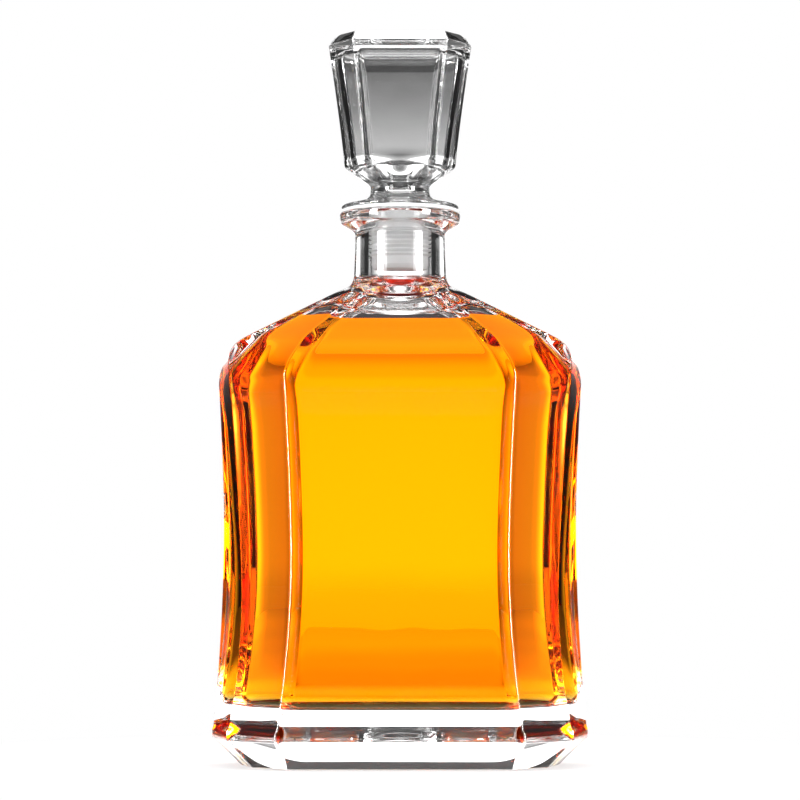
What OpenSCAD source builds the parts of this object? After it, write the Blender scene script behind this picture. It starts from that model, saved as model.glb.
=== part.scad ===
// Faceted glass decanter with a stopper.
// A square-shouldered bottle of ten-sided plan, waisted like an hourglass, on a
// thick undercut base; a hollow-cored glass stopper of the same plan; a finned
// plastic seal between them; and the spirit that fills the bottle.
// Units are millimetres. Z is up, the origin is the centre of the foot, and the
// broad front panel faces -Y.
//
// Every level section of the glass is a ten-sided polygon, the same in all four
// quarters, set by three corners of the +X +Y quarter:
//   ridge  on the X axis, where the two side facets meet
//   flank  between a side facet and a corner chamfer
//   front  between a corner chamfer and the broad front panel

/* [Bottle body] */
// Half width at the side ridge, on the belt just above the foot
belt_ridge = 61.6; // [55:0.1:68]
// Half width at the side ridge, at the waist
waist_ridge = 58.0; // [54:0.1:62]
// Half width at the side ridge, under the shoulder
shoulder_ridge = 59.8; // [56:0.1:64]
// Half width at the flank edges: belt, waist and shoulder
belt_flank = 55.7; // [50:0.1:58]
waist_flank = 50.9; // [47:0.1:54]
shoulder_flank = 55.2; // [50:0.1:57]
// Half width of the front panel: belt, waist and shoulder
belt_front = 39.4; // [34:0.1:44]
waist_front = 34.4; // [30:0.1:38]
shoulder_front = 36.7; // [32:0.1:40]
// Half depth at the front panel: belt, waist and shoulder
belt_depth = 36.7; // [33:0.1:42]
waist_depth = 34.6; // [31:0.1:37]
shoulder_depth = 36.0; // [32:0.1:39]
// Height of the waist of the ridge, flank and front edges
ridge_waist_z = 80; // [70:1:90]
flank_waist_z = 56; // [45:1:70]
front_waist_z = 68; // [60:1:80]
// Height of the belt's lower edge, where the undercut starts
belt_z = 9; // [6:0.5:12]
// Height of the belt's vertical band
belt_band = 2.8; // [1:0.1:5]
// Depth of the recess under the base
punt_depth = 1.4; // [0.5:0.1:3]

/* [Shoulder and neck] */
// Slope of the shoulder at the sides and at the front, in degrees
side_slope = 27.2; // [22:0.1:34]
front_slope = 52; // [46:0.5:58]
// Radius of the shoulder's outer corner at the sides, and of the front panel's bend
side_corner_r = 17; // [10:0.5:20]
front_corner_r = 36; // [16:1:42]
// Radius of the fillet between shoulder and neck
fillet_r = 5; // [3:0.5:7]
// Outer radius of the neck at its foot and under the lip
neck_foot_r = 15.3; // [14:0.1:17]
neck_top_r = 14.9; // [14:0.1:16]
// Height of the centre of the fillet, where the neck begins
neck_z = 160.6; // [155:0.1:168]
// Radius, height and thickness of the lip ring
lip_r = 20.1; // [18:0.1:22]
lip_top_z = 181.2; // [176:0.1:186]
lip_h = 6.3; // [5:0.1:9]
// Radius of the straight bore of the neck
bore_r = 10.5; // [10.2:0.05:11]

/* [Glass walls and spirit] */
// Wall thickness of the body
wall = 5.5; // [4:0.1:7]
// Thickness of the solid glass base
base_t = 18.6; // [14:0.1:24]
// Radius where the inside floor turns up into the walls
floor_r = 7; // [4:0.5:10]
// How far the cavity's roof lies below the outside of the shoulder
roof_drop = 5.5; // [4:0.5:10]
// Height of the spirit's surface
spirit_z = 142.2; // [60:0.1:146]
// Gap between the spirit's solid and the glass
spirit_gap = 0.05; // [0.02:0.01:0.2]

/* [Stopper] */
// Height of the top of the stopper
stopper_top_z = 240; // [225:0.5:250]
// Height of the underside corner of the stopper's head
head_foot_z = 197.6; // [195:0.1:202]
// Half width and half depth of the head at its widest
head_half_w = 23.7; // [20:0.1:26]
head_half_d = 14.6; // [12:0.1:17]
// Size of the head's foot as a part of its widest size
head_taper = 0.78; // [0.7:0.01:0.95]
// Height and inset of the crown bevel
crown_h = 2.8; // [1:0.1:4]
crown_in = 1.9; // [0.5:0.1:3]
// Radius of the stem between head and flange
stem_r = 9.75; // [9:0.05:11]
// Radius of the flange that covers the lip
flange_r = 19.6; // [17:0.1:20]
// Radius and length of the peg that holds the seal
peg_r = 7.6; // [6:0.1:8]
peg_l = 17.4; // [12:0.1:18]
// Glass thickness round the stopper's hollow core
core_wall = 4; // [3:0.1:6]
// Radius of the hollow's tail, through the stem and the peg
tail_r = 5.6; // [4:0.1:6]

/* [Seal] */
// Thickness of the seal's collar on the lip
collar_t = 1.2; // [0.8:0.1:2]
// Radius of the collar
collar_r = 19.7; // [17:0.1:20]
// Outer radius of the sleeve between its fins
sleeve_r = 9.4; // [9:0.1:9.8]
// Radial clearance of the fins in the bore
fin_gap = 0.08; // [0.03:0.01:0.1]
// Radial clearance of the peg in the sleeve
peg_gap = 0.06; // [0.03:0.01:0.1]
// Number of fins, and their pitch
fin_n = 8; // [4:1:9]
fin_pitch = 1.45; // [1.3:0.05:1.6]
// Height of the underside of the seal
seal_foot_z = 162; // [161:0.1:164]

/* [Hidden] */
$fn = 96;

edge_r = 1.6;                     // rounding of the upright edges
inside_r = 7;                     // rounding of the upright edges inside
arc_n = 2;                        // steps round each corner of a section
roof_z = 112;                     // where the cavity's wall begins to turn into its roof
roof_span = 18;                   // and the height over which it does
roof_inset = 2.6;                 // how far the roof and the throat are set in
throat_inset = 3.4;
gather_z = 142;                   // where the roof begins to gather into the throat
gather_span = 10;
throat_z = neck_z - 7.6;          // where the cavity's roof meets the bore
shoulder_z = neck_z - 35.8;       // where the straight body ends
arch_z = 138;                     // where the shoulder's facets have their upper shape
arch_flank = 0.985;               // flank and front edges up there, as parts of the ridge's size
arch_front = 0.57;
loft_top_z = neck_z - 4;          // where the turned neck takes over
undercut = belt_z * 1.01;         // the undercut is a 45 degree bevel
foot_rim = 6.5;                   // width of the rim that the bottle stands on
glass_c = [0.86, 0.90, 0.91, 0.35];
spirit_c = [0.95, 0.55, 0.05, 0.85];
seal_c = [0.92, 0.93, 0.93, 0.8];

// ---- curves of the body -------------------------------------------------

function mix(a, b, t) = a + (b - a) * t;
function unit(t) = max(0, min(1, t));
function smooth(t) = let (u = unit(t)) u * u * (3 - 2 * u);

// An hourglass curve: belt size, waist size at height zw, shoulder size
function waisted(z, belt, waist, shoulder, zw) =
    z < zw
        ? waist + (belt - waist) * pow((zw - max(z, belt_z)) / (zw - belt_z), 2)
        : waist + (shoulder - waist) * pow((min(z, shoulder_z) - zw) / (shoulder_z - zw), 1.5);

// A shoulder outline: an arc from the upright wall at size w, a straight slope,
// and a fillet into the neck. Gives the half size at height z.
function shoulder_line(slope) =   // signed distance of the slope from the origin
    sin(slope) * (neck_foot_r + fillet_r) + cos(slope) * neck_z - fillet_r;
function corner_z(w, slope, r) =  // height of the corner arc's centre
    (shoulder_line(slope) - r - sin(slope) * (w - r)) / cos(slope);
function shoulder_size(z, w, slope, r) =
    let (cz = corner_z(w, slope, r), arc_top = cz + r * cos(slope),
         fillet_foot = neck_z - fillet_r * cos(slope))
    z <= cz ? w
    : z <= arc_top ? w - r + sqrt(pow(r, 2) - pow(z - cz, 2))
    : z <= fillet_foot ? (shoulder_line(slope) - cos(slope) * z) / sin(slope)
    : z <= neck_z ? neck_foot_r + fillet_r - sqrt(pow(fillet_r, 2) - pow(neck_z - z, 2))
    : neck_foot_r;

function ridge_x(z) =
    shoulder_size(z, waisted(z, belt_ridge, waist_ridge, shoulder_ridge, ridge_waist_z), side_slope,
                  side_corner_r);
function wall_y(z) = waisted(z, belt_depth, waist_depth, shoulder_depth, front_waist_z);
function panel_y(z) = shoulder_size(z, wall_y(z), front_slope, front_corner_r);
function rise(z) = smooth((z - shoulder_z) / (arch_z - shoulder_z));
function flank_x(z) =
    z < shoulder_z ? waisted(z, belt_flank, waist_flank, shoulder_flank, flank_waist_z)
                   : ridge_x(z) * mix(shoulder_flank / shoulder_ridge, arch_flank, rise(z));
function front_x(z) =
    z < shoulder_z ? waisted(z, belt_front, waist_front, shoulder_front, front_waist_z)
                   : ridge_x(z) * mix(shoulder_front / shoulder_ridge, arch_front, rise(z));
function flank_y(z) =             // the corner chamfers stand at about 45 degrees
    z < shoulder_z ? panel_y(z) * (1 - (flank_x(z) - front_x(z)) / wall_y(z))
                   : panel_y(z) * mix(1 - (shoulder_flank - shoulder_front) / shoulder_depth, 0.5, rise(z));
// The upright edges melt into the round neck
function blend_r(z) = edge_r + (neck_foot_r - 2 - edge_r) * pow(unit((z - arch_z) / (neck_z - arch_z)), 2);

// ---- level sections -----------------------------------------------------

// Edge normal and distance for the line through two corners
function line_n(p, q) = let (d = q - p) [d.y, -d.x] / norm(d);
function meet(n1, c1, n2, c2) =
    let (k = n1.x * n2.y - n1.y * n2.x) [(c1 * n2.y - c2 * n1.y) / k, (c2 * n1.x - c1 * n2.x) / k];
function arc_pts(c, r, a0, a1) = [for (i = [0 : arc_n]) c + r * [cos(mix(a0, a1, i / arc_n)),
                                                               sin(mix(a0, a1, i / arc_n))]];
function flip_x(pts) = [for (i = [len(pts) - 1 : -1 : 0]) [-pts[i].x, pts[i].y]];
function half_turn(pts) = [for (p = pts) -p];

// A ten-sided section from its ridge, flank and front corners, set in by
// inset, with corners rounded to r, as a counter-clockwise list of points
function section(ridge, flank, front, inset, r) =
    let (n1 = line_n([ridge, 0], flank) * -1, n1u = n1.x < 0 ? -n1 : n1,
         n2 = line_n(flank, front) * -1, n2u = n2.x < 0 ? -n2 : n2,
         c1 = n1u * [ridge, 0] - inset - r,
         c3 = front.y - inset - r,
         c2 = min(n2u * flank - inset - r, n2u * [c1, c3] - 0.3),
         a1 = atan2(n1u.y, n1u.x), a2 = atan2(n2u.y, n2u.x),
         pr = [c1 / n1u.x, 0],
         pf = meet(n1u, c1, n2u, c2),
         pp = meet(n2u, c2, [0, 1], c3),
         quarter = concat(arc_pts(pf, r, a1, a2), arc_pts(pp, r, a2, 90)),
         upper = concat([pr + r * [1, 0]], quarter, flip_x(quarter)))
    concat(upper, half_turn(upper));

function body_section(z, inset, r) =
    section(ridge_x(z), [flank_x(z), flank_y(z)], [front_x(z), panel_y(z)], inset, r);
function at_z(pts, z) = [for (p = pts) [p.x, p.y, z]];

// A closed solid through a stack of sections with the same number of points
module loft(rings) {
    n = len(rings[0]);
    m = len(rings);
    polyhedron(
        points = [for (ring = rings) for (p = ring) p],
        faces = concat(
            [[for (k = [0 : n - 1]) k]],
            [[for (k = [n - 1 : -1 : 0]) (m - 1) * n + k]],
            [for (i = [0 : m - 2]) for (k = [0 : n - 1]) let (j = (k + 1) % n)
                each [[i * n + k, (i + 1) * n + k, (i + 1) * n + j], [i * n + k, (i + 1) * n + j, i * n + j]]]),
        convexity = 6);
}

// ---- bottle -------------------------------------------------------------

body_levels = concat([belt_z + belt_band, 18, 26, 36, 48, 60, 72, 84, 96, 108, 118],
                     [for (i = [0 : 11]) mix(shoulder_z, loft_top_z, i / 11)]);

module bottle_outside() {
    foot = at_z(body_section(belt_z, undercut, edge_r), 0);
    belt = at_z(body_section(belt_z, 0, edge_r), belt_z);
    loft(concat([foot, belt], [for (z = body_levels) at_z(body_section(z, 0, blend_r(z)), z)]));
}

// The inside follows the outside, a wall's thickness in, and lower under the
// sloping shoulder; it ends as a round throat of the bore's size.
function thinning(z) = smooth((z - roof_z) / roof_span);
function inside_drop(z) = roof_drop * thinning(z);
function inside_inset(z) =
    mix(mix(wall, roof_inset, thinning(z)), throat_inset, smooth((z - gather_z) / gather_span));
function floor_inset(z) =         // extra inset where the floor turns up
    let (h = base_t + floor_r - z) h <= 0 ? 0 : floor_r - sqrt(max(0, floor_r * floor_r - h * h));
function inside_round(z) = mix(inside_r, bore_r - 1, smooth((z - gather_z) / gather_span));
function inside_section(z, extra) =
    let (zo = z + inside_drop(z))
    at_z(body_section(zo, inside_inset(z) + floor_inset(z) + extra, inside_round(z)), z);

// Levels of the cavity, with one at the spirit's surface
cavity_levels = concat([base_t, base_t + 0.6, base_t + 2, base_t + 4, base_t + floor_r],
                       [32, 44, 56, 68, 80, 92, 104, roof_z, 117, 122, 127, 131, 135, 139, 142, 145, 148, 150.5]);
wet_levels = concat([for (z = cavity_levels) if (z < spirit_z - 1) z], [spirit_z]);
dry_levels = concat([for (z = cavity_levels) if (z > spirit_z + 1) z], [throat_z]);

module bottle_inside() {
    loft([for (z = concat(wet_levels, dry_levels)) inside_section(z, 0)]);
}

module neck_outside() {
    lip_foot = lip_top_z - lip_h;
    lip_edge = 3;                 // rounding of the lip ring
    lip_c = [lip_r - lip_edge, lip_foot + 1.3 * lip_edge];
    top_edge = 1.4;               // fillet under the lip, and the edge of its top
    taper_h = 8;                  // height over which the neck narrows to its upper radius
    plug_r = neck_foot_r - 3;     // the neck's root inside the body
    plug_z = loft_top_z - 8;
    rotate_extrude()
        polygon(concat(
            [[0, plug_z], [plug_r, plug_z], [plug_r, loft_top_z - 0.6]],
            [for (a = [50 : -10 : 0]) [neck_foot_r + fillet_r * (1 - cos(a)), neck_z - fillet_r * sin(a)]],
            [[neck_top_r, neck_z + taper_h], [neck_top_r, lip_foot - top_edge], [neck_top_r + 1, lip_foot],
             [lip_c.x, lip_foot + 0.4 * lip_edge]],
            [for (a = [-60 : 20 : 40]) lip_c + lip_edge * [cos(a), sin(a)]],
            [[lip_r - top_edge, lip_top_z], [0, lip_top_z]]));
}

// The bore is one turned surface, with a flare that opens into the body below
// and a broken edge at the mouth.
module bottle_bore() {
    mouth = 0.8;                  // the broken edge's size
    flare_r = neck_foot_r - 2.3;
    flare_z = throat_z - 0.5;
    rotate_extrude()
        polygon([[0, flare_z], [flare_r, flare_z], [bore_r, throat_z + 2],
                 [bore_r, lip_top_z - mouth], [bore_r + mouth, lip_top_z], [bore_r + mouth, lip_top_z + 1],
                 [0, lip_top_z + 1]]);
}

module bottle_punt() {
    translate([0, 0, -1])
        linear_extrude(1 + punt_depth)
            polygon(body_section(belt_z, undercut + foot_rim, edge_r));
}

module bottle() {
    color(glass_c)
        difference() {
            union() {
                bottle_outside();
                neck_outside();
            }
            bottle_inside();
            bottle_bore();
            bottle_punt();
        }
}

// ---- spirit -------------------------------------------------------------

module spirit() {
    color(spirit_c)
        loft(concat(
            [at_z(inside_section(base_t, spirit_gap), base_t + spirit_gap)],
            [for (i = [1 : len(wet_levels) - 1]) inside_section(wet_levels[i], spirit_gap)]));
}

// ---- seal ---------------------------------------------------------------

flange_z = lip_top_z + collar_t;  // underside of the stopper's flange
sleeve_in = peg_r + peg_gap;
fin_r = bore_r - fin_gap;
seal_floor_t = 1.4;

module stopper_seal() {
    lead_h = 1.6;                 // the tapered end that leads the sleeve into the neck
    fin_root = 0.7;               // height of a fin's cone, and of its rim
    fin_rim = 0.25;
    first_fin = seal_foot_z + 4.2;
    color(seal_c)
        difference() {
            union() {
                translate([0, 0, seal_foot_z]) cylinder(h = lead_h, r1 = sleeve_r - 0.7, r2 = sleeve_r);
                translate([0, 0, seal_foot_z + lead_h])
                    cylinder(h = flange_z - seal_foot_z - lead_h, r = sleeve_r);
                for (i = [0 : fin_n - 1])
                    translate([0, 0, first_fin + i * fin_pitch])
                        cylinder(h = fin_root, r1 = sleeve_r, r2 = fin_r);
                for (i = [0 : fin_n - 1])
                    translate([0, 0, first_fin + fin_root + i * fin_pitch])
                        cylinder(h = fin_rim, r = fin_r);
                translate([0, 0, lip_top_z]) cylinder(h = collar_t, r = collar_r);
            }
            translate([0, 0, seal_foot_z + seal_floor_t])
                cylinder(h = flange_z - seal_foot_z, r = sleeve_in);
        }
}

// ---- stopper ------------------------------------------------------------

head_flank = [21.4, 7.4];         // the head's flank corner where it is widest
head_front = [11.2, 15.6];        // half width of its front panel at the foot and at the top

// The head's section is the body's, at the stopper's size. k is its size as a
// part of the widest section.
function head_section(k, inset, r) =
    section(head_half_w * k, head_flank * k,
            [mix(head_front[0], head_front[1], unit((k - head_taper) / (1 - head_taper))), head_half_d * k],
            inset, r);
function head_k(z) =              // the head's size at height z
    mix(head_taper, 1, pow(unit((z - head_foot_z) / (stopper_top_z - crown_h - head_foot_z)), 1.15));

head_levels = [for (i = [0 : 6]) mix(head_foot_z, stopper_top_z - crown_h, i / 6)];

head_edge = 1;                    // rounding of the head's upright edges
head_under = [[9, 5.6], [4.6, 3.6], [1.6, 1.4]];    // its rounded underside: inset, depth

module head_outside() {
    loft(concat(
        [for (u = head_under) at_z(head_section(head_taper, u[0], head_edge), head_foot_z - u[1])],
        [for (z = head_levels) at_z(head_section(head_k(z), 0, head_edge), z)],
        [at_z(head_section(1, crown_in, head_edge), stopper_top_z)]));
}

// The blown air core of the head: a rounded block, a funnel under it, and a tail
// that runs down the stem and out through the end of the peg
funnel_z = head_foot_z - 3.1;
funnel_r = 8;
core_edge = 3;                    // rounding of the core's upright edges
core_z = [funnel_z + 6, stopper_top_z - crown_h - 4.6];     // foot and top of its straight part
core_top = [[0.9, 1.8], [3, 2.7]];                // its rounded top: inset, height

module head_core() {
    function ring(z, inset) = head_section(head_k(z), core_wall + inset, core_edge - 0.6 * inset / 1.5);
    loft(concat(
        [at_z(section(6.6, [6.2, 3.4], [3.6, 6], 0, 1.5), funnel_z - 0.5),
         at_z(head_section(head_taper, core_wall + 1.4, core_edge), funnel_z + 4.2)],
        [for (i = [0 : 5]) let (z = mix(core_z[0], core_z[1], i / 5)) at_z(ring(z, 0), z)],
        [for (t = core_top) at_z(ring(core_z[1], t[0]), core_z[1] + t[1])]));
}

module core_tail() {
    tail_z = flange_z - peg_l - 1;
    rotate_extrude()
        polygon([[0, tail_z], [tail_r, tail_z], [tail_r, funnel_z - 4.4], [funnel_r, funnel_z], [0, funnel_z]]);
}

// The turned part of the stopper: peg, flange that covers the lip, and stem
module stem_and_peg() {
    peg_foot = flange_z - peg_l;
    peg_edge = 0.8;
    flange_edge = 0.6;
    flange_t = 1.4;               // height of the flange's rim
    stem_z = 188.9;               // the narrowest height of the stem
    stem_fillet = 2.4;
    socket_r = stem_r + 1.6;      // where the stem runs into the head
    socket_top = stem_z + 9;
    rotate_extrude()
        polygon(concat(
            [[0, peg_foot], [peg_r - peg_edge, peg_foot], [peg_r, peg_foot + peg_edge], [peg_r, flange_z],
             [flange_r - flange_edge, flange_z], [flange_r, flange_z + flange_edge],
             [flange_r - flange_edge, flange_z + flange_t]],
            [for (a = [-68 : 17 : 0]) [stem_r + stem_fillet * (1 - cos(a)), stem_z + stem_fillet * sin(a)]],
            [[stem_r, stem_z + 1], [stem_r + 0.6, stem_z + stem_fillet], [socket_r, stem_z + 1.5 * stem_fillet],
             [socket_r, socket_top], [0, socket_top]]));
}

module stopper() {
    color(glass_c)
        difference() {
            union() {
                head_outside();
                stem_and_peg();
            }
            head_core();
            core_tail();
        }
}

bottle();
spirit();
stopper_seal();
stopper();
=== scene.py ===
import math

import bpy
import numpy as np
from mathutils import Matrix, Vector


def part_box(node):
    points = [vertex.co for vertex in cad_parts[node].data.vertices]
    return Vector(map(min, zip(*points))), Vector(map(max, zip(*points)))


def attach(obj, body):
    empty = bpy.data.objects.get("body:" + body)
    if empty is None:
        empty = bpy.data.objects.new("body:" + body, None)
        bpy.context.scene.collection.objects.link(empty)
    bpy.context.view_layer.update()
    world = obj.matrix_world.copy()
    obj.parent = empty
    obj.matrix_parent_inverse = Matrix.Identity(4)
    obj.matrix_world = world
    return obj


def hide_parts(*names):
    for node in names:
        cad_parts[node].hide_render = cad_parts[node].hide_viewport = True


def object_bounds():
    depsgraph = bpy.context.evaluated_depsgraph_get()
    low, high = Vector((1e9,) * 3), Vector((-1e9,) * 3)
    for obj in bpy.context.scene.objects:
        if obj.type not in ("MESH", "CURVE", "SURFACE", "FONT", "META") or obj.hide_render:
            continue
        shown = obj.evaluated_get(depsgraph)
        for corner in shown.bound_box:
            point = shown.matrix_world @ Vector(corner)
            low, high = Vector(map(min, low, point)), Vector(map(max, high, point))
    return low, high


# A faceted glass decanter, holding amber spirit, with its stopper and seal. Curves are worked out in
# millimetres, with Z up and the broad front panel towards -Y, and every mesh is scaled to metres.

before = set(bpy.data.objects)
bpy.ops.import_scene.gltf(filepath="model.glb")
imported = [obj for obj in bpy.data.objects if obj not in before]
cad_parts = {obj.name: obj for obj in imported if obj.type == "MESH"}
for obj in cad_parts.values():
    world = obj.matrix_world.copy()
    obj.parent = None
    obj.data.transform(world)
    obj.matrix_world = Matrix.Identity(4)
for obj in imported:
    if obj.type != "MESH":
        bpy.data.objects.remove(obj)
cad_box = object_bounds()

MM = 0.001


def node_box(name):
    """Lowest and highest corner of a CAD node, in millimetres."""
    low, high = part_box(name)
    return np.array(low) / MM, np.array(high) / MM


bottle_high = node_box("bottle")[1]
spirit_low = node_box("spirit")[0]
seal_low, seal_high = node_box("stopper_seal")
stopper_low, stopper_high = node_box("stopper")

# ---- sizes, in millimetres --------------------------------------------------

# Bottle body: half widths and half depths at the belt, the waist and the shoulder
BELT_Z = 9.0
BAND_TOP_Z = 11.8
RIDGE = (float(bottle_high[0]), 58.0, 59.8)
FLANK = (55.7, 50.9, 55.2)
FRONT = (39.4, 34.4, 36.7)
DEPTH = (float(bottle_high[1]), 34.6, 36.0)
RIDGE_WAIST_Z, FLANK_WAIST_Z, FRONT_WAIST_Z = 80.0, 56.0, 68.0
UNDERCUT = BELT_Z * 1.01
PUNT_DEPTH = 1.4
PUNT_INSET = UNDERCUT + 6.5
EDGE_R = 1.6                 # rounding of the upright edges

# Shoulder and neck
SIDE_SLOPE, FRONT_SLOPE = math.radians(27.2), math.radians(52)
SIDE_CORNER_R, FRONT_CORNER_R = 17.0, 36.0
FILLET_R = 5.0
NECK_Z = 160.6
NECK_FOOT_R, NECK_TOP_R = 15.3, 14.9
SHOULDER_Z = NECK_Z - 35.8
ARCH_Z = 138.0               # where the shoulder's facets have their upper shape
ARCH_FLANK, ARCH_FRONT = 0.985, 0.57
ROUNDING_Z, FULL_ROUND_Z = 153.0, 159.0      # the body's sections turn from faceted to round between these
LIP_R = 20.1
LIP_TOP_Z = float(bottle_high[2])
LIP_H = 6.3
BORE_R = 10.5

# Glass walls and spirit
WALL = 5.5
INSIDE_R = 7.0               # rounding of the upright edges inside
FLOOR_Z = float(spirit_low[2]) - 0.05
FLOOR_R = 7.0
SPIRIT_Z = 142.2
MENISCUS = 0.7
SPIRIT_GAP = 0.02
ROOF_Z, ROOF_SPAN = 112.0, 18.0      # where the wall begins to turn into the roof, and over what height
ROOF_DROP, ROOF_INSET = 5.5, 2.6
GATHER_Z, GATHER_SPAN = 142.0, 10.0  # where the roof gathers into the throat
THROAT_INSET, THROAT_R = 3.4, BORE_R + 1.6
THROAT_Z = NECK_Z - 8.6
CAVITY_ROUND_Z, CAVITY_ROUND_SPAN = 145.0, 5.0       # where the cavity's sections turn round

# Stopper
TOP_Z = float(stopper_high[2])
HEAD_Z = 197.6
HEAD_W, HEAD_D = 23.7, 14.6
HEAD_TAPER, HEAD_SWELL = 0.78, 1.15
HEAD_FLANK = (21.4, 7.4)
HEAD_FRONT = (11.2, 15.6)            # the front corner's half width at the head's foot and top
HEAD_FRONT_FROM, HEAD_FRONT_SPAN = 0.76, 0.24
HEAD_FOOT_R = 1.2                    # rounding of the upright edges at the head's foot
UNDER_INSET = 5.0                    # the faceted underside is set in by this much at most
CROWN_H, CROWN_IN = 2.8, 1.9
STEM_R = 9.75
STEM_Z = 188.9
FLANGE_R = 19.6
PEG_R = 7.6
PEG_FOOT_Z = float(stopper_low[2])
CORE_WALL, CORE_DROP, FUNNEL_DROP = 4.0, 4.6, 3.1
CORE_R, CORE_R_LOSS, CORE_CAP_R = 3.2, 1.4, 2.7      # the edges' rounding, its loss at the top, the top's
FOOT_RISE, FOOT_TURN, FUNNEL_DEPTH = 6.0, 3.0, 4.4
FUNNEL_R, TAIL_R = 6.4, 5.6
FOOT_CORNER = 0.25           # how far the core's foot turns in before it opens into the funnel

# Seal
COLLAR_T = 1.2
COLLAR_R = float(seal_high[0])
FLANGE_Z = LIP_TOP_Z + COLLAR_T
SLEEVE_R = 9.4
SLEEVE_IN = PEG_R + 0.06
FIN_R = BORE_R - 0.08
FIN_COUNT, FIN_PITCH, FIRST_FIN = 8, 1.45, 4.2
FIN_RIM, FIN_T = (0.6, 0.9), 1.0     # heights of a fin's rim and of its root's top, over its foot
SEAL_FLOOR = 1.4
SEAL_FOOT_Z = float(seal_low[2])
SEAL_GAP = 0.03              # keeps the collar's faces off the lip and the flange

# ---- curves -----------------------------------------------------------------


def mix(a, b, t):
    return a + (b - a) * t


def smooth(t):
    u = min(1.0, max(0.0, t))
    return u * u * (3 - 2 * u)


def waisted(z, sizes, waist_z):
    """An hourglass curve through the sizes at the belt, the waist and the shoulder."""
    belt, waist, shoulder = sizes
    if z < waist_z:
        return waist + (belt - waist) * ((waist_z - max(z, BELT_Z)) / (waist_z - BELT_Z)) ** 2
    return waist + (shoulder - waist) * ((min(z, SHOULDER_Z) - waist_z) / (SHOULDER_Z - waist_z)) ** 1.5


def shoulder_size(z, wall_size, slope, corner_r):
    """A shoulder's outline: an arc off the upright wall, a straight slope and a fillet into the neck."""
    line = math.sin(slope) * (NECK_FOOT_R + FILLET_R) + math.cos(slope) * NECK_Z - FILLET_R
    arc_z = (line - corner_r - math.sin(slope) * (wall_size - corner_r)) / math.cos(slope)
    if z <= arc_z:
        return wall_size
    if z <= arc_z + corner_r * math.cos(slope):
        return wall_size - corner_r + math.sqrt(corner_r ** 2 - (z - arc_z) ** 2)
    if z <= NECK_Z - FILLET_R * math.cos(slope):
        return (line - math.cos(slope) * z) / math.sin(slope)
    if z <= NECK_Z:
        return NECK_FOOT_R + FILLET_R - math.sqrt(FILLET_R ** 2 - (NECK_Z - z) ** 2)
    return NECK_FOOT_R


def ridge_x(z):
    return shoulder_size(z, waisted(z, RIDGE, RIDGE_WAIST_Z), SIDE_SLOPE, SIDE_CORNER_R)


def panel_y(z):
    return shoulder_size(z, waisted(z, DEPTH, FRONT_WAIST_Z), FRONT_SLOPE, FRONT_CORNER_R)


def body_corners(z):
    """Ridge, flank corner and front corner of the body's plan at height z."""
    ridge, depth = ridge_x(z), panel_y(z)
    if z < SHOULDER_Z:
        flank, front = waisted(z, FLANK, FLANK_WAIST_Z), waisted(z, FRONT, FRONT_WAIST_Z)
        flank_depth = depth * (1 - (flank - front) / waisted(z, DEPTH, FRONT_WAIST_Z))
        return ridge, (flank, flank_depth), (front, depth)
    arch = smooth((z - SHOULDER_Z) / (ARCH_Z - SHOULDER_Z))
    flank = ridge * mix(FLANK[2] / RIDGE[2], ARCH_FLANK, arch)
    front = ridge * mix(FRONT[2] / RIDGE[2], ARCH_FRONT, arch)
    return ridge, (flank, depth * mix(1 - (FLANK[2] - FRONT[2]) / DEPTH[2], 0.5, arch)), (front, depth)


def outer_round(z):
    """Rounding of the body's upright edges, which melt into the round neck."""
    return EDGE_R + (NECK_FOOT_R - 2 - EDGE_R) * min(1.0, max(0.0, (z - ARCH_Z) / (NECK_Z - ARCH_Z))) ** 2


# ---- rings and shells -------------------------------------------------------

RIDGE_STEPS, ARC_STEPS = 3, 6
SIDE_STEPS, CHAMFER_STEPS, PANEL_STEPS = 6, 8, 12
FINE, COARSE = 0.8, 3.0              # spacing of the rings, fine from these heights up
OUTER_FINE_Z, INNER_FINE_Z = 110.0, 108.0
FLOOR_SCALES = (0.92, 0.75, 0.5, 0.25, 0.1)


def arc(centre, radius, start, end, steps):
    angle = np.linspace(start, end, steps + 1)
    return np.array(centre) + radius * np.column_stack([np.cos(angle), np.sin(angle)])


def flat(a, b, steps, half=False):
    """The inner points of a straight stretch, closer together at its ends; half stops at its middle."""
    t = (1 - np.cos(np.pi * np.arange(1, steps) / steps)) / 2
    if half:
        t = np.append(1 - np.cos(np.pi / 2 * np.arange(1, steps) / steps), 1.0)
    return np.array(a) + np.outer(t, np.array(b) - np.array(a))


def meet(n1, c1, n2, c2):
    return np.linalg.solve([n1, n2], [c1, c2])


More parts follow.
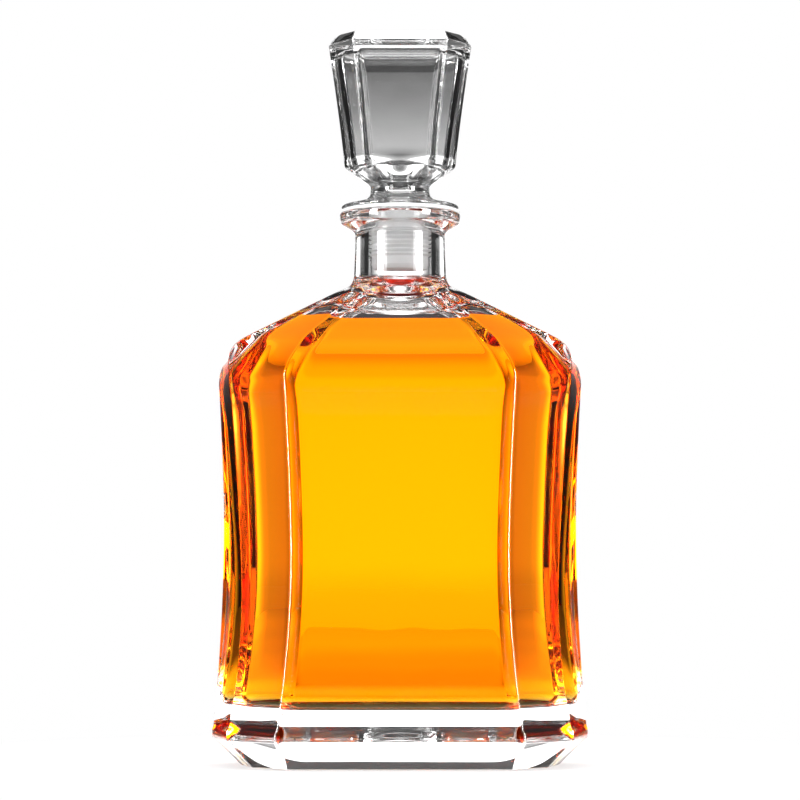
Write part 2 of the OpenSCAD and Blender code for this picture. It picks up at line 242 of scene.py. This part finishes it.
def section(ridge, flank, front, inset=0.0, r=EDGE_R):
    """A ten-sided ring, set in by inset, with its corners rounded to r, counter-clockwise from +X."""
    def normal(p, q):
        d = np.subtract(q, p)
        n = np.array([d[1], -d[0]]) / np.hypot(*d)
        return n if n[0] > 0 else -n

    side, chamfer, panel = normal((ridge, 0), flank), normal(flank, front), np.array([0.0, 1.0])
    off_side = side[0] * ridge - inset - r
    off_panel = front[1] - inset - r
    off_chamfer = min(chamfer @ flank - inset - r, chamfer @ [off_side, off_panel] - 0.3)
    a_side, a_chamfer = math.atan2(side[1], side[0]), math.atan2(chamfer[1], chamfer[0])
    ridge_c = (off_side / side[0], 0)
    flank_c = meet(side, off_side, chamfer, off_chamfer)
    front_c = meet(chamfer, off_chamfer, panel, off_panel)
    ridge_arc = arc(ridge_c, r, 0, a_side, RIDGE_STEPS)
    flank_arc = arc(flank_c, r, a_side, a_chamfer, ARC_STEPS)
    front_arc = arc(front_c, r, a_chamfer, math.pi / 2, ARC_STEPS)
    quarter = np.vstack([
        ridge_arc, flat(ridge_arc[-1], flank_arc[0], SIDE_STEPS),
        flank_arc, flat(flank_arc[-1], front_arc[0], CHAMFER_STEPS),
        front_arc, flat(front_arc[-1], (0, front_arc[-1][1]), PANEL_STEPS, half=True)])
    upper = np.vstack([quarter, (quarter * [-1, 1])[-2::-1]])
    return np.vstack([upper[:-1], -upper[:-1]])


def rounded(ring, radius, t=1.0):
    """The ring drawn towards a circle of that radius, fully so at t = 1."""
    circle = ring / np.linalg.norm(ring, axis=1)[:, None] * radius
    return mix(ring, circle, t)


def filleted(corners, radii, steps=5):
    """A profile through corners, each but the first and last rounded to its radius."""
    corners = [np.array(c, float) for c in corners]
    out = [corners[0]]
    for before, corner, after, radius in zip(corners, corners[1:], corners[2:], radii):
        if radius == 0:
            out.append(corner)
            continue
        u = (before - corner) / np.linalg.norm(before - corner)
        v = (after - corner) / np.linalg.norm(after - corner)
        half = math.acos(max(-1.0, min(1.0, u @ v))) / 2
        centre = corner + (u + v) / np.linalg.norm(u + v) * radius / math.sin(half)
        start = corner + u * radius / math.tan(half) - centre
        end = corner + v * radius / math.tan(half) - centre
        turn = math.atan2(start[0] * end[1] - start[1] * end[0], start @ end)
        for i in range(steps + 1):
            a = turn * i / steps
            out.append(centre + [start[0] * math.cos(a) - start[1] * math.sin(a),
                                 start[0] * math.sin(a) + start[1] * math.cos(a)])
    out.append(corners[-1])
    return out


def levels(start, end, step):
    return np.linspace(start, end, max(2, round(abs(end - start) / step) + 1))


def shell(name, rings, closed=False):
    """A mesh through rings of (points, z). Its ends close in a point, or on each other if closed."""
    n = len(rings[0][0])
    rows = []
    for ring, z in rings:
        z = np.broadcast_to(z, n)
        rows.append(np.column_stack([ring, z]))
    points = np.vstack(rows)
    faces = []
    last = len(rings) - 1
    for i in range(last + closed):
        a, b = i * n, (i + 1) % (last + 1) * n
        for k in range(n):
            j = (k + 1) % n
            faces.append((a + k, a + j, b + j, b + k))
    if not closed:
        first_tip, last_tip = len(points), len(points) + 1
        points = np.vstack([points, [0, 0, np.mean(rows[0][:, 2])], [0, 0, np.mean(rows[-1][:, 2])]])
        faces += [(first_tip, (k + 1) % n, k) for k in range(n)]
        faces += [(last_tip, last * n + k, last * n + (k + 1) % n) for k in range(n)]
    tri = np.array([(f[0], f[i], f[i + 1]) for f in faces for i in range(1, len(f) - 1)])
    a, b, c = (points[tri[:, i]] for i in range(3))
    if np.einsum("ij,ij->i", a, np.cross(b, c)).sum() < 0:
        faces = [f[::-1] for f in faces]
    mesh = bpy.data.meshes.new(name)
    mesh.from_pydata((points * MM).tolist(), [], faces)
    mesh.polygons.foreach_set("use_smooth", [True] * len(faces))
    mesh.update()
    obj = bpy.data.objects.new(name, mesh)
    bpy.context.scene.collection.objects.link(obj)
    return obj


# ---- bottle -----------------------------------------------------------------

neck_ring = section(*body_corners(FULL_ROUND_Z), r=outer_round(FULL_ROUND_Z))


def body_ring(z, inset=0.0, r=None):
    ring = section(*body_corners(z), inset=inset, r=outer_round(z) if r is None else r)
    return rounded(ring, ridge_x(z) - inset, smooth((z - ROUNDING_Z) / (FULL_ROUND_Z - ROUNDING_Z)))


# Foot, undercut and belt, as (inset from the belt, height)
foot_profile = filleted(
    [(PUNT_INSET + 3, PUNT_DEPTH), (PUNT_INSET, PUNT_DEPTH), (PUNT_INSET, 0), (UNDERCUT, 0), (0, BELT_Z),
     (0, BAND_TOP_Z)],
    [0.6, 0.6, 0.9, 0.8])
foot_rings = [(body_ring(BELT_Z, inset, EDGE_R + 0.5 * (inset > 0.5)), z) for inset, z in foot_profile]
punt_ring = foot_rings[0][0]
punt_rings = [(punt_ring * s, PUNT_DEPTH + 0.35 * (1 - s * s)) for s in (0.15, 0.4, 0.65, 0.85)]
body_rings = [(body_ring(z), z) for z in
              np.concatenate([levels(BAND_TOP_Z + 1, OUTER_FINE_Z, COARSE),
                              levels(OUTER_FINE_Z, FULL_ROUND_Z, FINE)[1:]])]

lip_foot_z = LIP_TOP_Z - LIP_H
lip_profile = filleted(
    [(NECK_FOOT_R, NECK_Z), (NECK_TOP_R, NECK_Z + 8), (NECK_TOP_R, lip_foot_z),
     (LIP_R - 0.4, lip_foot_z + 2.8), (LIP_R, LIP_TOP_Z),
     (BORE_R, LIP_TOP_Z), (BORE_R, THROAT_Z + 3.6), (THROAT_R, THROAT_Z)],
    [30, 1.8, 2.2, 0.8, 0.8, 6])
neck_rings = [(rounded(neck_ring, ridge_x(z)), z) for z in levels(FULL_ROUND_Z, NECK_Z, FINE)[1:-1]]
neck_rings += [(rounded(neck_ring, radius), z) for radius, z in lip_profile]


def inside_ring(z, gap=0.0):
    """The body's cavity at height z: the outer section, lower and set in by the wall."""
    roof, gather = smooth((z - ROOF_Z) / ROOF_SPAN), smooth((z - GATHER_Z) / GATHER_SPAN)
    inset = mix(mix(WALL, ROOF_INSET, roof), THROAT_INSET, gather)
    below = FLOOR_Z + FLOOR_R - z
    if below > 0:
        inset += FLOOR_R - math.sqrt(max(0.0, FLOOR_R ** 2 - below ** 2))
    ring = section(*body_corners(z + ROOF_DROP * roof), inset=inset + gap,
                   r=mix(INSIDE_R, BORE_R - 1, gather))
    return rounded(ring, THROAT_R - gap, smooth((z - CAVITY_ROUND_Z) / CAVITY_ROUND_SPAN))


WET_Z = SPIRIT_Z + MENISCUS  # where the spirit's skin meets the glass
dry_levels = levels(THROAT_Z, WET_Z, 0.6)[1:]
wall_levels = np.concatenate([levels(WET_Z, INNER_FINE_Z, FINE)[1:],
                              levels(INNER_FINE_Z, FLOOR_Z + FLOOR_R, COARSE)[1:]])
floor_levels = [FLOOR_Z + FLOOR_R * (1 - math.cos(a)) for a in np.linspace(math.pi / 2, 0, 9)[1:]]
wet_levels = np.concatenate([wall_levels, floor_levels])
floor_ring = inside_ring(FLOOR_Z)


def floor_z(s):
    """The floor of the cavity, which is a little higher in its middle."""
    return FLOOR_Z + 0.5 * (1 - s * s)


floor_rings = [(floor_ring * s, floor_z(s)) for s in FLOOR_SCALES]
outer_part = punt_rings + foot_rings + body_rings + neck_rings
dry_part = [(inside_ring(z), z) for z in dry_levels]
wet_part = [(inside_ring(z), z) for z in wet_levels] + floor_rings
bottle = shell("decanter_glass", outer_part + dry_part + wet_part)

# ---- spirit -----------------------------------------------------------------

skin_ring = inside_ring(WET_Z, SPIRIT_GAP)
skin_rings = []
for inward in (9.0, 6.0, 4.2, 3.0, 2.1, 1.4, 0.8, 0.4):
    shrink = 1 - inward / np.linalg.norm(skin_ring, axis=1)[:, None]
    skin_rings.append((skin_ring * shrink, SPIRIT_Z + MENISCUS * math.exp(-inward / 1.1)))
spirit_rings = [(inside_ring(z, SPIRIT_GAP), z)
                for z in np.concatenate([[WET_Z], wall_levels, floor_levels[:-1]])]
spirit_foot = inside_ring(FLOOR_Z, SPIRIT_GAP)
spirit_floor = [(spirit_foot * s, floor_z(s) + SPIRIT_GAP) for s in (1, *FLOOR_SCALES)]
spirit = shell("spirit_fill", skin_rings + spirit_rings + spirit_floor)

# ---- stopper ----------------------------------------------------------------


def head_ring(k, inset=0.0, r=1.0):
    """The head's plan at size k, as a part of its widest size."""
    front = mix(*HEAD_FRONT, min(1.0, max(0.0, (k - HEAD_FRONT_FROM) / HEAD_FRONT_SPAN)))
    return section(HEAD_W * k, (HEAD_FLANK[0] * k, HEAD_FLANK[1] * k), (front, HEAD_D * k), inset, r)


def head_size(z):
    t = (z - HEAD_Z) / (TOP_Z - CROWN_H - HEAD_Z)
    return mix(HEAD_TAPER, 1.0, min(1.0, max(0.0, t)) ** HEAD_SWELL)


head_foot = head_ring(HEAD_TAPER, 0, HEAD_FOOT_R)
crown_z = TOP_Z - CROWN_H
core_top = crown_z - CORE_DROP
funnel_z = HEAD_Z - FUNNEL_DROP

# Turned part, from the tail's mouth in the peg's end up to the stem's top
peg_profile = filleted(
    [(TAIL_R, PEG_FOOT_Z + 3), (TAIL_R, PEG_FOOT_Z), (PEG_R, PEG_FOOT_Z),
     (PEG_R, FLANGE_Z), (FLANGE_R, FLANGE_Z), (FLANGE_R - 0.4, FLANGE_Z + 1.3),
     (STEM_R + 1.7, FLANGE_Z + 3.2), (STEM_R, FLANGE_Z + 5.0), (STEM_R, STEM_Z + 1)],
    [0.8, 1.2, 0.5, 0.6, 0.7, 1.6, 2.0])
peg_rings = [(rounded(head_foot, radius), z) for radius, z in peg_profile]

# Underside of the head, which grows out of the round stem: (inset of the head's foot, height)
under_profile = filleted(
    [(HEAD_W * HEAD_TAPER - STEM_R, STEM_Z + 1), (8.0, STEM_Z + 2.2), (0, HEAD_Z - 1), (0, HEAD_Z + 4)],
    [2.5, 2.2])


def under_ring(inset, z):
    """A section of the underside, round at the stem and faceted at the head."""
    kept = min(inset, UNDER_INSET)
    faceted = head_ring(HEAD_TAPER, kept, HEAD_FOOT_R + 0.3 * kept)
    turned = rounded(head_foot, HEAD_W * HEAD_TAPER - inset)
    return mix(faceted, turned, 1 - smooth((z - STEM_Z - 2.5) / 4.5))


under_rings = [(under_ring(inset, z), z) for inset, z in under_profile[1:-1]]
head_rings = [(head_ring(head_size(z)), z) for z in levels(HEAD_Z + 4, crown_z - 1, 2.4)]
crown_profile = filleted([(0, crown_z - 0.8), (0, crown_z), (CROWN_IN, TOP_Z), (8, TOP_Z)], [1.0, 0.7])
crown_rings = [(head_ring(1, inset, 1.0), z) for inset, z in crown_profile]
top_rings = [(crown_rings[-1][0] * s, TOP_Z) for s in (0.7, 0.4, 0.15)]


def core_ring(z):
    return head_ring(head_size(z), CORE_WALL, CORE_R)


def cap_ring(turned):
    """A section of the core's rounded top, turned in from 0 at its side to 1 at its rim."""
    return head_ring(head_size(core_top), CORE_WALL + CORE_CAP_R * turned, CORE_R - CORE_R_LOSS * turned)


core_cap = [(cap_ring(1 - math.cos(a)), core_top + CORE_CAP_R * math.sin(a))
            for a in np.linspace(math.pi / 2, 0, 6)]
core_walls = [(core_ring(z), z) for z in levels(core_top, funnel_z + FOOT_RISE, 2.4)[1:]]
foot_ring = core_walls[-1][0]
core_foot = [(rounded(foot_ring, FUNNEL_R, FOOT_CORNER * (1 - math.cos(a))),
              funnel_z + FOOT_RISE - FOOT_TURN * math.sin(a)) for a in np.linspace(0, math.pi / 2, 7)[1:]]
funnel = [(rounded(foot_ring, mix(FUNNEL_R, TAIL_R, t), mix(1, FOOT_CORNER, (1 - t) ** 3)),
           mix(funnel_z + FOOT_RISE - FOOT_TURN, funnel_z - FUNNEL_DEPTH, t))
          for t in (0.05, 0.12, 0.22, 0.36, 0.52, 0.68, 0.84, 1)]
tail = [(rounded(head_foot, TAIL_R), z) for z in levels(funnel_z - 5, PEG_FOOT_Z + 3, 3)[:-1]]
cap_tip = [(core_cap[0][0] * s, core_cap[0][1]) for s in (0.15, 0.45, 0.8)]
stopper = shell("stopper_glass", cap_tip + core_cap + core_walls + core_foot + funnel + tail
                + peg_rings + under_rings + head_rings + crown_rings + top_rings)

# ---- seal -------------------------------------------------------------------

turn = np.linspace(0, 2 * math.pi, 129)[:-1]
unit_circle = np.column_stack([np.cos(turn), np.sin(turn)])
fins = []
for fin in range(FIN_COUNT):
    foot = SEAL_FOOT_Z + FIRST_FIN + fin * FIN_PITCH
    fins += [(SLEEVE_R, foot), (FIN_R, foot + FIN_RIM[0]), (FIN_R, foot + FIN_RIM[1]),
             (SLEEVE_R, foot + FIN_T)]
seal_profile = filleted(
    [(0.5, SEAL_FOOT_Z), (SLEEVE_R - 0.7, SEAL_FOOT_Z), (SLEEVE_R, SEAL_FOOT_Z + 1.6)] + fins
    + [(SLEEVE_R, LIP_TOP_Z + SEAL_GAP), (COLLAR_R, LIP_TOP_Z + SEAL_GAP), (COLLAR_R, FLANGE_Z - SEAL_GAP),
       (SLEEVE_IN, FLANGE_Z - SEAL_GAP), (SLEEVE_IN, SEAL_FOOT_Z + SEAL_FLOOR),
       (0.5, SEAL_FOOT_Z + SEAL_FLOOR)],
    [0.5, 0.4] + [0.1, 0.12, 0.12, 0.1] * FIN_COUNT + [0.3, 0.4, 0.4, 0.25, 0.5], steps=2)
seal = shell("seal_finned_sleeve", [(unit_circle * radius, z) for radius, z in seal_profile])

# ---- materials --------------------------------------------------------------


WHITE = (1, 1, 1, 1)


def grey(level):
    return (level, level, level, 1)


class Tree:
    """Short calls for building a node tree."""

    def __init__(self, owner):
        owner.use_nodes = True
        self.tree = owner.node_tree
        self.tree.nodes.clear()

    def node(self, kind, **values):
        made = self.tree.nodes.new(kind)
        for key, value in values.items():
            if hasattr(made, key) and key not in made.inputs:
                setattr(made, key, value)
            else:
                self.put(made.inputs[key.replace("_", " ")], value)
        return made

    def put(self, socket, value):
        if isinstance(value, bpy.types.NodeSocket):
            self.tree.links.new(value, socket)
        else:
            socket.default_value = value

    def math(self, operation, a, b=0.0):
        made = self.tree.nodes.new("ShaderNodeMath")
        made.operation = operation
        self.put(made.inputs[0], a)
        self.put(made.inputs[1], b)
        return made.outputs[0]

    def ramp(self, value, stops):
        made = self.tree.nodes.new("ShaderNodeValToRGB")
        made.color_ramp.interpolation = "EASE"
        elements = made.color_ramp.elements
        while len(elements) < len(stops):
            elements.new(0.5)
        for element, (at, level) in zip(elements, stops):
            element.position = at
            element.color = grey(level)
        self.put(made.inputs[0], value)
        return made.outputs[0]


def clear_material(name, ior, roughness=(0.0, 0.02), wave=0.0, absorb=None):
    """A clear material: faint waves from the mould, and slight haze in its roughness."""
    made = bpy.data.materials.new(name)
    t = Tree(made)
    place = t.node("ShaderNodeTexCoord").outputs["Object"]
    haze = t.node("ShaderNodeTexNoise", Vector=place, Scale=55.0, Detail=3.0, Roughness=0.6)
    shader = t.node("ShaderNodeBsdfPrincipled", Base_Color=WHITE, IOR=ior)
    shader.inputs["Transmission Weight"].default_value = 1.0
    rough = t.node("ShaderNodeMapRange", Value=haze.outputs[0])
    limits = (("From Min", 0.45), ("From Max", 0.8), ("To Min", roughness[0]), ("To Max", roughness[1]))
    for key, value in limits:
        rough.inputs[key].default_value = value
    t.put(shader.inputs["Roughness"], rough.outputs[0])
    if wave:
        swell = t.node("ShaderNodeTexNoise", Vector=place, Scale=38.0, Detail=1.5, Roughness=0.35)
        bump = t.node("ShaderNodeBump", Height=swell.outputs[0], Strength=1.0, Distance=wave)
        t.put(shader.inputs["Normal"], bump.outputs[0])
    out = t.node("ShaderNodeOutputMaterial", Surface=shader.outputs[0])
    if absorb:
        volume = t.node("ShaderNodeVolumeAbsorption", Color=absorb[0], Density=absorb[1])
        t.put(out.inputs["Volume"], volume.outputs[0])
    return made


GLASS_IOR, SPIRIT_IOR = 1.52, 1.36
WAVE = 0.00012               # depth of the glass's waves, in metres
AMBER = ((0.9917, 0.809, 0.0, 1), 150.0)

glass = clear_material("glass_dry", GLASS_IOR, wave=WAVE)
wet_glass = clear_material("glass_wetted", GLASS_IOR / SPIRIT_IOR, wave=WAVE)
amber = clear_material("spirit_amber", 1.0, roughness=(0.0, 0.0), absorb=AMBER)
amber_skin = clear_material("spirit_surface", SPIRIT_IOR, roughness=(0.0, 0.0), absorb=AMBER)


def plastic_material(name):
    made = bpy.data.materials.new(name)
    t = Tree(made)
    place = t.node("ShaderNodeTexCoord").outputs["Object"]
    grain = t.node("ShaderNodeTexNoise", Vector=place, Scale=900.0, Detail=4.0)
    cloud = t.node("ShaderNodeTexNoise", Vector=place, Scale=120.0, Detail=3.0)
    tone = t.node("ShaderNodeMix", data_type="RGBA", Factor=cloud.outputs[0])
    tone.inputs[6].default_value = (0.90, 0.91, 0.92, 1)
    tone.inputs[7].default_value = (0.98, 0.98, 0.97, 1)
    rough = t.node("ShaderNodeMapRange", Value=cloud.outputs[0])
    rough.inputs["To Min"].default_value, rough.inputs["To Max"].default_value = 0.4, 0.5
    bump = t.node("ShaderNodeBump", Height=grain.outputs[0], Strength=0.25, Distance=0.00005)
    shader = t.node("ShaderNodeBsdfPrincipled", Base_Color=tone.outputs[2], IOR=1.5,
                    Roughness=rough.outputs[0], Normal=bump.outputs[0])
    shader.inputs["Transmission Weight"].default_value = 0.35
    t.node("ShaderNodeOutputMaterial", Surface=shader.outputs[0])
    return made


plastic = plastic_material("seal_frosted_plastic")


def paint(obj, materials, index_of_face=None):
    for made in materials:
        obj.data.materials.append(made)
    if index_of_face is not None:
        obj.data.polygons.foreach_set("material_index", index_of_face)


ring_n = len(neck_ring)
dry_rows = len(outer_part) + len(dry_part) - 1
bottle_faces = np.zeros(len(bottle.data.polygons), int)
bottle_faces[dry_rows * ring_n:] = 1                          # the wetted rows and the floor's tip
bottle_faces[-2 * ring_n:-ring_n] = 0                         # the punt's tip
paint(bottle, [glass, wet_glass], bottle_faces)

spirit_faces = np.zeros(len(spirit.data.polygons), int)
spirit_faces[:len(skin_rings) * ring_n] = 1
spirit_faces[-2 * ring_n:-ring_n] = 1
paint(spirit, [amber, amber_skin], spirit_faces)
paint(stopper, [glass])
paint(seal, [plastic])

for piece, body, node, slot in (
        (bottle, "decanter", "bottle", "bottle_glass"),
        (spirit, "decanter", "spirit", "spirit"),
        (seal, "seal", "stopper_seal", "seal_plastic"),
        (stopper, "stopper", "stopper", "stopper_glass")):
    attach(piece, body)
    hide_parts(node)

# ---- stage, light and camera ------------------------------------------------

scene = bpy.context.scene
FLOOR_SIDE = 2.6
FLOOR_GAP = 0.0002           # keeps the floor off the foot
# The floor's tone, and the darker tone of the painted shade to its left and right
FLOOR_TONE, FLOOR_PAINTED_SHADE = 0.9, 0.12
# Strength of the painted glow of light on the floor behind the object
PAINTED_GLOW = 1.7                  # strength of the bright floor behind the object

floor_mesh = bpy.data.meshes.new("floor")
half_floor = FLOOR_SIDE / 2
floor_mesh.from_pydata([(-half_floor, -half_floor, 0), (half_floor, -half_floor, 0),
                        (half_floor, half_floor, 0), (-half_floor, half_floor, 0)], [], [(0, 1, 2, 3)])
floor = bpy.data.objects.new("floor", floor_mesh)
scene.collection.objects.link(floor)
floor.location.z = cad_box[0].z - FLOOR_GAP

# To the camera the floor is white, but for a soft shadow close to the foot. Through and in the glass it is
# matt, with painted shade to its left and right and a painted glow of light behind the object.
pale = bpy.data.materials.new("floor_pale")
t = Tree(pale)
place = t.node("ShaderNodeTexCoord").outputs["Object"]
reach = t.node("ShaderNodeVectorMath", operation="LENGTH")
t.put(reach.inputs[0], place)
axes = t.node("ShaderNodeSeparateXYZ", Vector=place)
# Away from the object the floor is darker to its left and right: painted shade
bearing = t.math("DIVIDE", t.math("ABSOLUTE", axes.outputs[0]), reach.outputs["Value"])
aside = t.ramp(bearing, [(0.12, 0.0), (0.35, 1.0)])
painted_shade = t.math("MULTIPLY", aside, t.ramp(reach.outputs["Value"], [(0.2, 0.0), (0.35, 1.0)]))
tone = t.node("ShaderNodeMix", data_type="RGBA", Factor=painted_shade)
tone.inputs[6].default_value, tone.inputs[7].default_value = grey(FLOOR_TONE), grey(FLOOR_PAINTED_SHADE)
matt = t.node("ShaderNodeBsdfDiffuse", Color=tone.outputs[2])
white = t.node("ShaderNodeEmission", Color=WHITE, Strength=1.0)
seen = t.node("ShaderNodeLightPath").outputs["Is Camera Ray"]
# Behind the object the floor glows with painted light: bright close by, dim further off and brightest towards
# the screen
behind = t.math("MULTIPLY", t.ramp(axes.outputs[1], [(0.0, 0.0), (0.05, 1.0)]), t.math("SUBTRACT", 1.0, painted_shade))
glow = t.ramp(reach.outputs["Value"], [(0.12, 0.5), (0.3, 0.08), (0.45, 0.16), (0.6, 0.32), (0.93, 0.7)])
painted_glow = t.math("MULTIPLY", glow, behind)
lit = t.node("ShaderNodeEmission", Color=WHITE, Strength=t.math("MULTIPLY", painted_glow, PAINTED_GLOW))
ground = t.node("ShaderNodeAddShader")
t.put(ground.inputs[0], matt.outputs[0])
t.put(ground.inputs[1], lit.outputs[0])
share = t.math("MULTIPLY", seen, t.ramp(reach.outputs["Value"], [(0.05, 0.6), (0.2, 1.0)]))
blend = t.node("ShaderNodeMixShader", Fac=share)
t.put(blend.inputs[1], ground.outputs[0])
t.put(blend.inputs[2], white.outputs[0])
t.node("ShaderNodeOutputMaterial", Surface=blend.outputs[0])
floor.data.materials.append(pale)

world = bpy.data.worlds.new("studio")
scene.world = world
t = Tree(world)
ray = t.node("ShaderNodeTexCoord").outputs["Generated"]
axes = t.node("ShaderNodeSeparateXYZ", Vector=ray)
x, y, z = (axes.outputs[i] for i in range(3))
# To the camera the world is white. To the glass it is a glowing screen behind the object, a weak panel at
# each side, a weak dome overhead and a dark room elsewhere. Panels and dome are dimmer in reflections.
GLOW, SIDE_GLOW, DOME, ROOM = 3.3, 0.4, 0.6, 0.01
MIRROR_LOSS = 0.8
rise = t.math("MULTIPLY_ADD", z, 2.0)
rise.node.inputs[2].default_value = 0.5
screen_height = t.ramp(rise, [(0.0, 0.1), (0.3, 0.4), (0.46, 0.8), (0.52, 1.0), (0.69, 1.0), (0.80, 0.2),
                              (0.9, 0.02)])
screen_width = t.ramp(t.math("ABSOLUTE", x), [(0, 1.0), (0.13, 0.95), (0.25, 0.36), (0.36, 0.14), (0.5, 0.0)])
behind = t.math("GREATER_THAN", y, 0.0)
screen = t.math("MULTIPLY", t.math("MULTIPLY", screen_height, screen_width), behind)
side_height = t.ramp(t.math("ABSOLUTE", z), [(0, 1.0), (0.35, 0.9), (0.6, 0.1), (0.8, 0)])
side_width = t.ramp(t.math("ABSOLUTE", y), [(0, 1.0), (0.3, 0.9), (0.55, 0.1), (0.7, 0)])
reflected = t.node("ShaderNodeLightPath").outputs["Is Glossy Ray"]
unmirrored = t.math("SUBTRACT", 1.0, t.math("MULTIPLY", reflected, MIRROR_LOSS))
sides = t.math("MULTIPLY", side_height, t.math("MULTIPLY", side_width, unmirrored))
dome = t.math("MULTIPLY", t.ramp(z, [(0.55, 0.0), (0.9, DOME)]), unmirrored)
level = t.math("ADD", t.math("MULTIPLY", screen, GLOW), t.math("MULTIPLY", sides, SIDE_GLOW))
level = t.math("ADD", t.math("ADD", level, dome), ROOM)
studio = t.node("ShaderNodeBackground", Color=WHITE, Strength=level)
white = t.node("ShaderNodeBackground", Color=WHITE, Strength=1.0)
seen = t.node("ShaderNodeLightPath").outputs["Is Camera Ray"]
blend = t.node("ShaderNodeMixShader", Fac=seen)
t.put(blend.inputs[1], studio.outputs[0])
t.put(blend.inputs[2], white.outputs[0])
t.node("ShaderNodeOutputWorld", Surface=blend.outputs[0])


def soft_box(name, size, place, target, power, through_glass=True):
    """An area light that faces target. Without through_glass it isn't seen in or through the glass."""
    data = bpy.data.lights.new(name, "AREA")
    data.shape = "RECTANGLE"
    data.size, data.size_y = size
    data.energy = power
    light = bpy.data.objects.new(name, data)
    scene.collection.objects.link(light)
    light.location = place
    light.rotation_mode = "QUATERNION"
    light.rotation_quaternion = (light.location - Vector(target)).to_track_quat("Z", "Y")
    light.visible_camera = False
    light.visible_glossy = light.visible_transmission = through_glass


MIDDLE = (0, 0, 0.12)
soft_box("floor_light", (3.0, 3.0), (0, 0, 2.2), (0, 0, 0), 40, through_glass=False)
for side, hand in ((-1, "left"), (1, "right")):
    soft_box("strip_" + hand, (0.3, 0.8), (side * 0.8, -0.65, 0.3), MIDDLE, 22)

# Lens and place that give the object the size and angle it has in the picture
IMAGE_PX = 800
FOCAL_PX = 2736
TILT = math.radians(3.13)
SHIFT_Y = 0.05
EYE_HEIGHT, EYE_DISTANCE = 0.0572, 0.900

camera_data = bpy.data.cameras.new("camera")
camera = bpy.data.objects.new("camera", camera_data)
scene.collection.objects.link(camera)
camera_data.sensor_width = 36
camera_data.lens = camera_data.sensor_width * FOCAL_PX / IMAGE_PX
camera_data.clip_start = 0.01
camera.location = (0, -EYE_DISTANCE, EYE_HEIGHT)
camera.rotation_euler = (math.pi / 2 + TILT, 0, 0)
camera_data.shift_y = SHIFT_Y
scene.camera = camera

scene.view_settings.view_transform = "Standard"
scene.cycles.use_denoising = True
scene.cycles.max_bounces = 32
scene.cycles.transmission_bounces = 32
scene.cycles.glossy_bounces = 16
scene.cycles.transparent_max_bounces = 16
scene.cycles.caustics_refractive = True
scene.cycles.caustics_reflective = False
